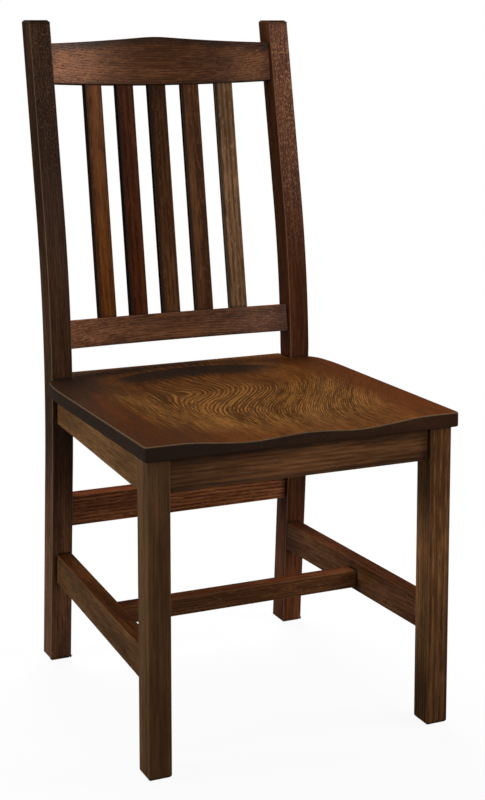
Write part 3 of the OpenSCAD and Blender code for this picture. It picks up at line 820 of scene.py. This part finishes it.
# %% [markdown]
# The board of the seat looks as if it was cut near a knot: its lines swirl. A knot could be modelled
# with rings of its own, but what shows is only how the long lines swing: they drift to one side
# towards the back, and round a few spots they bulge. A curl is one such bulge, with its place, its
# half width, its half length and how far it pushes the grain, all in millimetres.

# %% Swirl of the seat
swirl_left = -130
swirl_right = 110
swirl_start = leg_front + 60
swirl_end = leg_front + 340
swirl_push = 120
curls = [
    (-35, leg_front + 295, 45, 45, -14),
    (-70, leg_front + 160, 50, 60, 10),
    (110, leg_front + 380, 60, 60, 22),
]


def swirl(tree, place):
    x, y, z = split(tree, place)
    spread = band(tree, x, swirl_left, swirl_right)
    climb = times(tree, band(tree, z, swirl_start, swirl_end), -swirl_push)
    moved = calc(tree, "MULTIPLY_ADD", spread, climb, x)
    for across, along, half_width, half_length, push in curls:
        side = calc(tree, "DIVIDE", minus(tree, x, across), half_width)
        ahead = calc(tree, "DIVIDE", minus(tree, z, along), half_length)
        bulge = calc(tree, "EXPONENT", times(tree, squares(tree, side, ahead), -1))
        moved = calc(tree, "MULTIPLY_ADD", bulge, push, moved)
    return join(tree, moved, y, z)


print(len(curls), "curls in the seat")

# %% [markdown]
# Painted shade goes into the corners, where the light can't reach. Corners could be painted dark by
# hand. The Ambient Occlusion node finds them by itself: it looks how much of the surroundings a
# point can see within a few millimetres. Along the edges of the back rails and the front apron the
# wood is darker too, by a soft band that follows each edge, as painted shade under the seat on the
# apron, and the slats get painted shade at their left arris. Box corners give the height of those
# edges, and the slope says how they fall or rise towards the posts.

# %% Where painted shade gathers
corner_reach = 7.0
corner_samples = 8
tucked_from = 0.15
tucked_full = 0.5
edge_full = 2.5
edge_reach = 6.5
edge_share = 0.85


# Painted shade in corners, found by the Ambient Occlusion node.
def corner_glaze(tree):
    corner = tree.nodes.new("ShaderNodeAmbientOcclusion")
    corner.samples = corner_samples
    corner.inputs["Distance"].default_value = corner_reach * MM
    return band(tree, left_free(tree, corner.outputs["AO"]), tucked_from, tucked_full)


# Painted shade along a rail's edges: under the seat on the front apron, and darker bands on the back
# rails.
def rail_glaze(tree, spot, box, reach, slope):
    x, _, z = split(tree, spot)
    aside = calc(tree, "ABSOLUTE", x)
    top_line = calc(tree, "MULTIPLY_ADD", aside, slope[0], z)
    bottom_line = calc(tree, "MULTIPLY_ADD", aside, -slope[1], z)
    from_top = band(tree, minus(tree, box[1].z, top_line), 0, reach[0] * MM)
    from_bottom = band(tree, minus(tree, bottom_line, box[0].z), 0, reach[1] * MM)
    return left_free(tree, times(tree, from_top, from_bottom))


# Painted shade on a slat's front face next to its left arris.
def slat_glaze(tree, place, box):
    inwards = minus(tree, split(tree, place)[0], box[0].x / MM)
    return times(tree, left_free(tree, band(tree, inwards, edge_full, edge_reach)), edge_share)


print("glaze gathers within", corner_reach, "mm of a corner")

# %% [markdown]
# Two boards from one tree still differ, and so do two ends of one board. A stretch makes part of a
# stick lighter or darker along its length, given by its middle, its reach and the change; most
# stretches are painted light or painted shade, where more or less light falls on that part. It could
# be painted, but three numbers are quicker to change. Left faces and top faces get a tint of painted
# light, the colour that the lamps give faces that look that way. The Normal output of Texture
# Coordinate says which way a face looks on the chair, so the shade stays put when one walks round it.

# %% Stretches and painted light on faces
turned_from = 0.5
turned_full = 0.8
stretch_core = 0.15
white = (1, 1, 1, 1)


def facing(tree, amount):
    return band(tree, amount, turned_from, turned_full)


# A stretch is tone along a stick; most of them are painted light or painted shade.
def level_along(tree, along, stretches):
    level = 1.0
    for centre, reach, change in stretches:
        away = calc(tree, "ABSOLUTE", minus(tree, along, centre))
        near = left_free(tree, band(tree, away, stretch_core * reach, reach))
        level = times(tree, level, calc(tree, "MULTIPLY_ADD", near, change, 1))
    return level


# Painted light: left and top faces are tinted as the lamps would light them.
def face_tint(tree, normal, level, look):
    left = facing(tree, times(tree, normal[0], -1))
    tint = mix_colours(tree, left, white, (*look["left_face"], 1))
    tint = mix_colours(tree, facing(tree, normal[2]), tint, (*look["top_face"], 1))
    return mix_colours(tree, 1.0, tint, join(tree, level, level, level), "MULTIPLY")


# Painted glints: bright dots on front faces within a band along the stick, in the Ray colour.
def bright_specks(tree, normal, along, specks, look):
    low, high, share = look["specks"]
    front = facing(tree, times(tree, normal[1], -1))
    near = times(tree, band(tree, along, low, high), front)
    return times(tree, specks, times(tree, near, share))


print("faces are told apart by their normal")

# %% [markdown]
# Twenty-one woods are needed, one for each stick, the seat and the corner blocks, and they differ in
# colour and strength and not in kind. So there is one plain look, and each stick names only what is
# its own: shares of rings, pores, flecks and strokes, widths in millimetres, and colours. A body
# colour is written in the pairs that a colour picker shows, and turned into the amounts of light
# that Blender counts. Light wood, rays and glints, and rubbed arrises with their painted highlight
# are multiples of it. The border tone is white here, which is none, because only the seat has one.

# %% The plain look
plain_look = {
    "rings": 0.5, "pores": 0.6, "flecks": 0.5, "strokes": 0.25, "specks": (0, 1, 0.0),
    "ring_width": 4.0, "wander": 3.0, "pith": None, "stretches": [],
    "light": 1.6, "ray": (2.2, 2.5, 2.6), "rub": 0.3, "rubbed": (2.4, 2.8, 3.2),
    "toner": (1, 1, 1), "glaze": (0.02, 0.013, 0.01), "gloss": 0.25,
    # Painted shade on narrow sides and in corners, and tints of painted light on left and top faces.
    "sides": 0.0, "gathered": 0.85, "left_face": (1.0, 1.1, 1.15), "top_face": (1.0, 0.8, 0.7),
    "shade_reach": None, "shade_slope": (0.0, 0.0), "shade_share": 0.7, "left_arris": False,
}
deep_shares = (0.4, 0.34, 0.32)
body_shares = (0.88, 0.86, 0.84)
light_warmth = 0.96


def tone(text):
    def straight(part):
        share = int(part, 16) / 255
        return share / 12.92 if share <= 0.04045 else ((share + 0.055) / 1.055) ** 2.4
    return tuple(straight(text[i:i + 2]) for i in (0, 2, 4))


def tinted(colour, shares):
    return tuple(part * share for part, share in zip(colour, shares)) + (1,)


def wood_colours(body, look):
    light = look["light"]
    return {
        "Deep": tinted(body, deep_shares), "Body": tinted(body, body_shares),
        "Light": tinted(body, (light, light, light * light_warmth)),
        "Ray": tinted(body, look["ray"]), "Rub colour": tinted(body, look["rubbed"]),
        "Toner colour": (*look["toner"], 1), "Glaze colour": (*look["glaze"], 1),
    }


print("the plain look has", len(plain_look), "settings")

# %% [markdown]
# No two sticks come from the same place in the tree, so each gets a pith of its own, a foot or more
# away and to any side. The places could be typed in, but draws with a fixed seed are the same every
# time too. The seat has a chosen pith, and its draw is left unused, so that the blocks keep theirs.
# Then two helpers collect what the coats need: which pale marks show, the flecks and strokes of the
# wood and the painted glints, and where glaze and painted shade lie. A mark on the mesh, such as a
# groove, is read with an Attribute node.

# %% Pith, marks and masks
draws = random.Random(11)
pith_near = 260
pith_far = 420
pith_climb = 900


def draw_pith():
    side = draws.uniform(0, 2 * math.pi)
    away = draws.uniform(pith_near, pith_far)
    return (away * math.cos(side), away * math.sin(side), draws.uniform(0, pith_climb))


def stored(tree, name):
    reader = tree.nodes.new("ShaderNodeAttribute")
    reader.attribute_name = name
    return reader.outputs["Fac"]


def pale_marks(tree, figure, normal, along, look):
    flecks = times(tree, figure["Flecks"], look["flecks"])
    strokes = times(tree, figure["Strokes"], look["strokes"])
    specks = bright_specks(tree, normal, along, figure["Specks"], look)
    return largest(tree, flecks, specks, strokes)


# Glaze in the grooves of the joints, and painted shade on narrow sides, along rail edges, at the slats'
# left arris, in corners and, on the seat, where it is stored.
def glaze_mask(tree, spot, place, normal, box, look):
    sides = facing(tree, calc(tree, "ABSOLUTE", normal[0]))
    glaze = largest(tree, stored(tree, "glaze"), times(tree, sides, look["sides"]))
    if look["shade_reach"]:
        edges = rail_glaze(tree, spot, box, look["shade_reach"], look["shade_slope"])
        glaze = largest(tree, glaze, times(tree, edges, look["shade_share"]))
    if look["left_arris"]:
        glaze = largest(tree, glaze, slat_glaze(tree, place, box))
    return largest(tree, glaze, times(tree, corner_glaze(tree), look["gathered"]))


print("seeded draws, pith", pith_near, "to", pith_far, "mm away")

# %% [markdown]
# Now the material itself. It finds the place along the grain, lets the two groups work out the
# figure and the coats, and plugs their results into the Principled shader, which is the lacquered
# surface. It could be wired anew for each stick, but one function keeps all of them alike. How much
# the lacquer shines is the same all over, so that number is set on the shader.

# %% Oak material
grain_strength = 0.35
grain_depth = 0.15 * MM


def oak(name, grain, body, path=None, box=None, **own):
    look = {**plain_look, **own}
    material, tree, shader = new_material(name)
    coordinates = tree.nodes.new("ShaderNodeTexCoord").outputs
    spot = coordinates["Object"]
    normal = split(tree, coordinates["Normal"])
    place = grain_place(tree, spot, grain)
    along = split(tree, place)[2]
    level = level_along(tree, along, look["stretches"])
    pith = draw_pith()
    cut = vector_calc(tree, "ADD", path(tree, place) if path else place, look["pith"] or pith)
    figure = use_group(tree, oak_figure, {
        "Place": cut, "Ring width": look["ring_width"], "Wander": look["wander"],
    })
    stain = use_group(tree, stained_oak, {
        **{mark: figure[mark] for mark in ("Rings", "Pores", "Fibres", "Clouds")},
        **wood_colours(tone(body), look),
        "Flecks": pale_marks(tree, figure, normal, along, look),
        "Tint": face_tint(tree, normal, level, look),
        "Toner": stored(tree, "toner"),
        "Glaze": glaze_mask(tree, spot, place, normal, box, look),
        "Rubbed": calc(tree, "MULTIPLY", stored(tree, "rubbed"), level, clamp=True),
        "Ring share": look["rings"], "Pore share": look["pores"], "Rub share": look["rub"],
    })
    bump = tree.nodes.new("ShaderNodeBump")
    bump.inputs["Strength"].default_value = grain_strength
    bump.inputs["Distance"].default_value = grain_depth
    feed(tree, bump.inputs["Height"], stain["Height"])
    feed(tree, shader.inputs["Base Color"], stain["Colour"])
    feed(tree, shader.inputs["Roughness"], stain["Roughness"])
    feed(tree, shader.inputs["Normal"], bump.outputs[0])
    shader.inputs["Specular IOR Level"].default_value = look["gloss"]
    return material


def dress(piece, material):
    piece.data.materials.clear()
    piece.data.materials.append(material)
    print(piece.name, "wears", material.name)


# %% [markdown]
# The frame is dressed first. The posts are the boldest pieces: painted glints on their front faces,
# arrises rubbed nearly bare with a painted highlight, painted light towards the feet and a dark top
# end. The left front leg is calm, the right one has a broad wandering figure, and the rear stretcher
# has coarse arches and a top face darkened as painted shade. One material for all would be quicker,
# but the picture shows that the wood was never matched.

# %% Dress the frame
post = {
    "grain": "z", "path": follow_post, "rub": 0.9, "rubbed": (3.0, 4.5, 6.0),
    "flecks": 0.1, "strokes": 0.05,
}
dark_top_end = (1015, 9, -0.75)
# Most stretches below are painted light or shade along a stick, and the rear stretcher's top face gets
# painted shade.
frame_looks = {
    "rear_post_left": {
        **post, "body": "4a301f", "ray": (5.0, 6.5, 8.0), "specks": (650, 960, 0.35),
        "stretches": [(60, 330, 1.8), (900, 260, -0.12), dark_top_end],
    },
    "rear_post_right": {
        **post, "body": "5c331d", "ray": (3.4, 5.0, 6.5), "specks": (560, 860, 0.9),
        "stretches": [(40, 200, 0.6), (230, 120, -0.2), (1000, 260, 0.2), dark_top_end],
    },
    "front_leg_left": {
        "grain": "z", "body": "69492d", "flecks": 0.05, "rings": 0.15, "strokes": 0.05, "pores": 0.3,
        "light": 1.3,
    },
    "front_leg_right": {
        "grain": "z", "body": "774f2e", "wander": 10.0, "ring_width": 5.0, "rings": 0.6,
        "flecks": 0.15, "strokes": 0.5, "stretches": [(40, 250, -0.3), (230, 170, 0.15)],
    },
    "front_apron": {
        "grain": "x", "body": "6e482c", "wander": 6.0, "ring_width": 5.0, "rings": 0.4,
        "flecks": 0.1, "strokes": 0.3, "pores": 0.4, "light": 1.8,
        "shade_reach": (20.0, 12.0), "shade_share": 0.6,
        "stretches": [(-10, 140, 0.25), (-205, 90, -0.3)],
    },
    "rear_apron": {"grain": "x", "body": "593c27"},
    "side_apron_left": {"grain": "y", "body": "7b532d", "flecks": 0.2},
    "side_apron_right": {"grain": "y", "body": "593c27"},
    "side_stretcher_left": {"grain": "y", "body": "684323", "flecks": 0.3},
    "side_stretcher_right": {"grain": "y", "body": "5e3921"},
    "cross_stretcher": {"grain": "x", "body": "74492b"},
    "rear_stretcher": {
        "grain": "x", "body": "8d5533", "wander": 12.0, "ring_width": 6.0, "rings": 1.0,
        "pores": 0.85, "strokes": 0.4, "top_face": (0.6, 0.42, 0.38),
    },
}
for node, look in frame_looks.items():
    dress(finished[node], oak(node, box=boxes[node], **look))

# %% [markdown]
# The back comes next. Both rails are lighter towards their ends, as painted light where more light
# falls on the bow, and darker along their edges. The crest falls from its middle to the posts, and
# the bow lifts the ends of a leaning rail a little, so the dark bands slope with the edges. On the
# lower rail the upper band starts above the edge, so that only its soft tail shows. The slats differ
# in colour, as if from five boards, and their narrow sides are nearly black with painted shade.

# %% Dress the back
crest_fall = 16.0 / 200.0
bow_rise = 5.6 / 200.0
rail = {"grain": "x", "light": 1.8, "gloss": 0.18}
slat = {
    "grain": "z", "path": lean_back, "rings": 0.7, "ring_width": 7.0, "sides": 0.97, "gloss": 0.1,
    "left_arris": True,
}
back_looks = {
    "crest_rail": {
        **rail, "body": "613b22", "shade_reach": (14.0, 9.0), "shade_slope": (crest_fall, bow_rise),
        "stretches": [(-215, 190, 1.6), (215, 130, 1.35)],
    },
    "lower_back_rail": {
        **rail, "body": "6d462f", "shade_reach": (7.0, 9.0), "shade_slope": (-bow_rise, bow_rise),
        "stretches": [(-205, 120, 0.8), (205, 120, 0.8)],
    },
    "back_slat_1": {**slat, "body": "673913", "stretches": [(960, 140, 0.15)]},
    "back_slat_2": {**slat, "body": "4f2711"},
    "back_slat_3": {**slat, "body": "5b3920", "stretches": [(960, 160, -0.5)]},
    "back_slat_4": {**slat, "body": "674228"},
    "back_slat_5": {**slat, "body": "946d49", "rings": 0.8},
}
for node, look in back_looks.items():
    dress(finished[node], oak(node, box=boxes[node], **look))

# %% [markdown]
# The seat is the showpiece, and its figure is the strongest: narrow rings, bright strokes where the
# summer wood was wiped clean, and light wood that is twice as bright as the body. Its border tone
# is orange brown, and its arris is rubbed to a cool thin line that is also a painted highlight. It
# is made from the same groups as the sticks, with its own pith, so that the swirl lies where the
# hollow is.

# %% Dress the seat
seat_look = oak(
    "seat", "y", "6a4521", path=swirl, wander=5.0, ring_width=2.9, rings=0.75, flecks=0.15,
    strokes=0.85, light=2.1, ray=(3.4, 3.4, 2.9), pith=(420, 60, 0), toner=(0.85, 0.56, 0.4),
    glaze=(0.023, 0.018, 0.014), top_face=(1.0, 1.0, 1.0), rub=0.5, rubbed=(1.7, 2.8, 6.0),
)
dress(seat, seat_look)

# %% [markdown]
# Under the seat, four corner blocks stiffen the frame, and screws draw them tight and hold the seat
# down. Nobody sees them, so the blocks wear pale oak. Copies could be eased like the sticks, but the
# joiner's shapes are right as they are: they keep their own meshes, and only a finish goes on. The
# screws wear zinc, a bright metal with dull patches and fine scratches, from two noises.

# %% Blocks and screws
zinc_bright = (0.6, 0.58, 0.52, 1)
zinc_dull = (0.38, 0.36, 0.31, 1)
zinc_smooth = 0.28
dull_rough = 0.25
scratch_depth = 0.05 * MM
block_look = oak("corner block", "x", "b3926a", flecks=0.2, rub=0.0)
steel, tree, shader = new_material("screw steel")
shader.inputs["Metallic"].default_value = 1.0
place = grain_place(tree, tree.nodes.new("ShaderNodeTexCoord").outputs["Object"], "z")
dull = band(tree, noise(tree, place, scale=0.6, detail=3), 0.35, 0.65)
feed(tree, shader.inputs["Base Color"], mix_colours(tree, dull, zinc_bright, zinc_dull))
feed(tree, shader.inputs["Roughness"], calc(tree, "MULTIPLY_ADD", dull, dull_rough, zinc_smooth))
scratches = tree.nodes.new("ShaderNodeBump")
scratches.inputs["Distance"].default_value = scratch_depth
feed(tree, scratches.inputs["Height"], noise(tree, place, scale=4.0, detail=2))
feed(tree, shader.inputs["Normal"], scratches.outputs[0])
for node in frame["nodes"]:
    if node.startswith("corner_block") and "screw" not in node:
        dress(frame["nodes"][node], block_look)
    if "screws" in node:
        dress(frame["nodes"][node], steel)

# %% [markdown]
# The chair stands on a plain white floor. White paper under enough light to look white would throw
# that light back up into the dark wood. So the floor is a material with two faces: the camera sees
# it glow white, with only a faint soft shadow near the chair, while the light that bounces off it
# meets a dark grey, and the lacquer mirrors it darker still. A Light Path node tells who is looking.

# %% Floor
floor_span = 40
floor_white = (0.9, 0.9, 0.9, 1)
floor_grey = (0.2, 0.2, 0.2, 1)
floor_mirrored = (0.05, 0.05, 0.05, 1)
floor_rough = 0.9
shadow_share = 0.07
shadow_near = 0.7
shadow_far = 2.2
bpy.ops.object.select_all(action="DESELECT")
bpy.ops.mesh.primitive_plane_add(size=floor_span, location=(0, 0, 0))
floor = bpy.context.object
floor.name = "floor"
floor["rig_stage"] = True
floor_look, tree, shader = new_material("floor")
dress(floor, floor_look)
shader.inputs["Roughness"].default_value = floor_rough
shader.inputs["Specular IOR Level"].default_value = 0.0
path = tree.nodes.new("ShaderNodeLightPath").outputs
across, along, _ = split(tree, tree.nodes.new("ShaderNodeTexCoord").outputs["Object"])
away = calc(tree, "SQRT", squares(tree, across, along))
shadowed = times(tree, left_free(tree, band(tree, away, shadow_near, shadow_far)), shadow_share)
seen = calc(tree, "ADD", path["Is Camera Ray"], path["Is Transmission Ray"], clamp=True)
unseen = mix_colours(tree, path["Is Glossy Ray"], floor_grey, floor_mirrored)
feed(tree, shader.inputs["Base Color"], mix_colours(tree, seen, unseen, floor_white))
mixer = tree.nodes.new("ShaderNodeMixShader")
feed(tree, mixer.inputs[0], times(tree, seen, left_free(tree, shadowed)))
feed(tree, mixer.inputs[1], shader.outputs[0])
feed(tree, mixer.inputs[2], tree.nodes.new("ShaderNodeEmission").outputs[0])
feed(tree, tree.nodes["Material Output"].inputs["Surface"], mixer.outputs[0])

# %% [markdown]
# The room works in the same way. Behind the chair the camera sees pure white, but as a light the
# room is dim, and dimmer still in a mirror. It could be as bright as it looks, but then every side
# of the chair would be lit alike, and dark wood looks deep only when some sides stay dark.

# %% Room
room_light = 0.1
room_mirrored = 0.03
world = bpy.data.worlds.new("studio")
bpy.context.scene.world = world
world.use_nodes = True
tree = world.node_tree
path = tree.nodes.new("ShaderNodeLightPath").outputs
level = calc(tree, "ADD", path["Is Camera Ray"], path["Is Transmission Ray"], clamp=True)
level = calc(tree, "ADD", level, times(tree, path["Is Diffuse Ray"], room_light))
level = calc(tree, "ADD", level, times(tree, path["Is Glossy Ray"], room_mirrored))
background = tree.nodes["Background"]
background.inputs["Color"].default_value = white
feed(tree, background.inputs["Strength"], level)
print("room lights with", room_light, "of what the camera sees")

# %% [markdown]
# Six lamps light the chair. A broad one hangs above and behind it and brings out the seat. One
# stands on each side and draws the posts and legs, and a weak one in front keeps the shadows open.
# Those four are hidden from the lacquer, or they would lie on it as white patches. The other two,
# the sheens, are there to be mirrored. One big soft lamp would be simpler, but then no edge would
# stand out. A lamp shines along its own minus z, so that axis is turned to the spot it aims at.

# %% Lamps
lamps = [
    ("left softbox", (-3.0, 0.27, 1.0), (0, 0.1, 0.6), 0.6, 40, False),
    ("front fill", (-1.5, -2.6, 0.9), (0, 0, 0.5), 1.4, 4, False),
    ("right softbox", (1.9, -1.0, 1.0), (0.1, 0, 0.6), 1.0, 16, False),
    ("right sheen", (1.45, -0.85, 1.5), (0.1, 0.2, 0.7), 0.7, 7, True),
    ("front sheen", (-0.3, -3.0, 1.4), (0.1, 0.2, 0.7), 0.6, 8, True),
    ("top softbox", (0.3, 1.7, 2.9), (0, 0.1, 0.5), 1.8, 100, False),
]
for name, place, aim, size, power, mirrored in lamps:
    data = bpy.data.lights.new(name, "AREA")
    data.shape = "SQUARE"
    data.size = size
    data.energy = power
    lamp = bpy.data.objects.new(name, data)
    bpy.context.scene.collection.objects.link(lamp)
    lamp.visible_glossy = mirrored
    lamp.location = place
    lamp.rotation_euler = (Vector(aim) - Vector(place)).to_track_quat("-Z", "Y").to_euler()
    print(name, power, "W")
bpy.context.scene.view_settings.view_transform = "Standard"

# %% [markdown]
# Last, the finished chair is measured against the joiner's. It could be judged by eye, but a tenth
# of a millimetre doesn't show. Easing only takes wood away, and the seat is carved inside its own
# border, so the chair may have shrunk by a hair but can't have grown.

# %% Measure the finished chair
finished_low, finished_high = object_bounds()
change = (finished_high - finished_low) - (chair_high - chair_low)
print("chair grew by", [round(side / MM, 2) for side in change], "mm")
